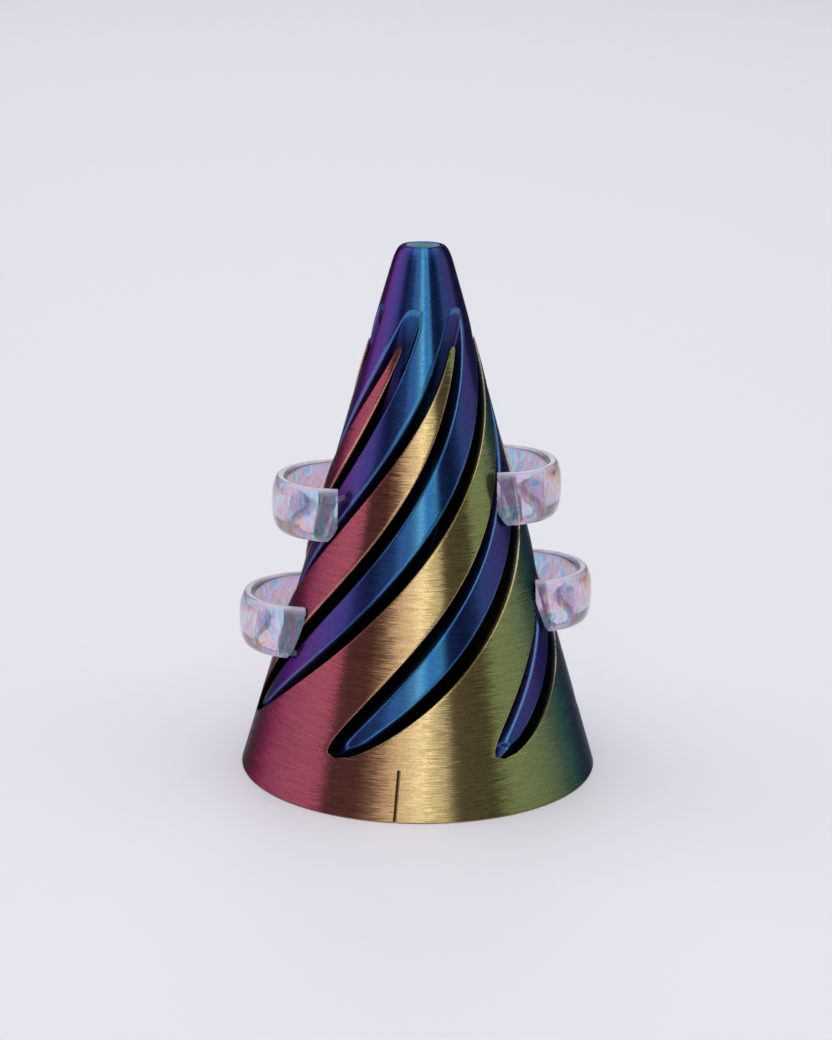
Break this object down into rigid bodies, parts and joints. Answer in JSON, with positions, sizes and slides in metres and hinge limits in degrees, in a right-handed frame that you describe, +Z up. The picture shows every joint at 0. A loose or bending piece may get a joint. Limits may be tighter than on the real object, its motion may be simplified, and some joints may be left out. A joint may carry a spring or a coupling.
{
  "type": "spiral pass-through cone",
  "caption": "Kinetic desk cone: a helically finned outer sleeve with a twisted inner spiral that screws up and out between the fins, with clear C-shaped loops on its flanks.",
  "frame": {"origin": "centre of the foot, on the table", "axes": "+Z up along the cone's axis, +X to the right and -Y towards the viewer who faces the seam"},
  "size_m": [0.0706, 0.0702, 0.104],
  "materials": {
    "silk_gold_plastic": "silky printed plastic that turns from rose through gold to green and teal round the cone",
    "silk_blue_plastic": "silky printed plastic that turns from magenta through blue to violet",
    "silk_teal_plastic": "silky printed plastic, teal blue",
    "opal_clear_plastic": "clear, opal, with a soft rainbow sheen",
    "clear_pin_plastic": "clear, plain"
  },
  "bodies": {
    "sleeve": {"outer_sleeve": "silk_gold_plastic"},
    "button": {"finger_button": "silk_teal_plastic"},
    "spiral": {"inner_spiral": "silk_blue_plastic", "cuff_upper_left": "opal_clear_plastic", "cuff_upper_right": "opal_clear_plastic", "cuff_lower_left": "opal_clear_plastic", "cuff_lower_right": "opal_clear_plastic", "peg_upper_left_front": "clear_pin_plastic", "peg_upper_left_back": "clear_pin_plastic", "peg_upper_right_front": "clear_pin_plastic", "peg_upper_right_back": "clear_pin_plastic", "peg_lower_left_front": "clear_pin_plastic", "peg_lower_left_back": "clear_pin_plastic", "peg_lower_right_front": "clear_pin_plastic", "peg_lower_right_back": "clear_pin_plastic"}
  },
  "joints": [
    {"name": "spiral_lift", "type": "slide", "parent": "sleeve", "child": "button", "axis": [0, 0, 1], "range_m": [0, 0.09]},
    {"name": "spiral_turn", "type": "hinge", "parent": "button", "child": "spiral", "pos_m": [0, 0, 0.1], "axis": [0, 0, 1], "range_deg": [0, 186]}
  ],
  "couplings": [
    {"joint": "spiral_turn", "follows": "spiral_lift", "rad_per_m": 35.904}
  ]
}
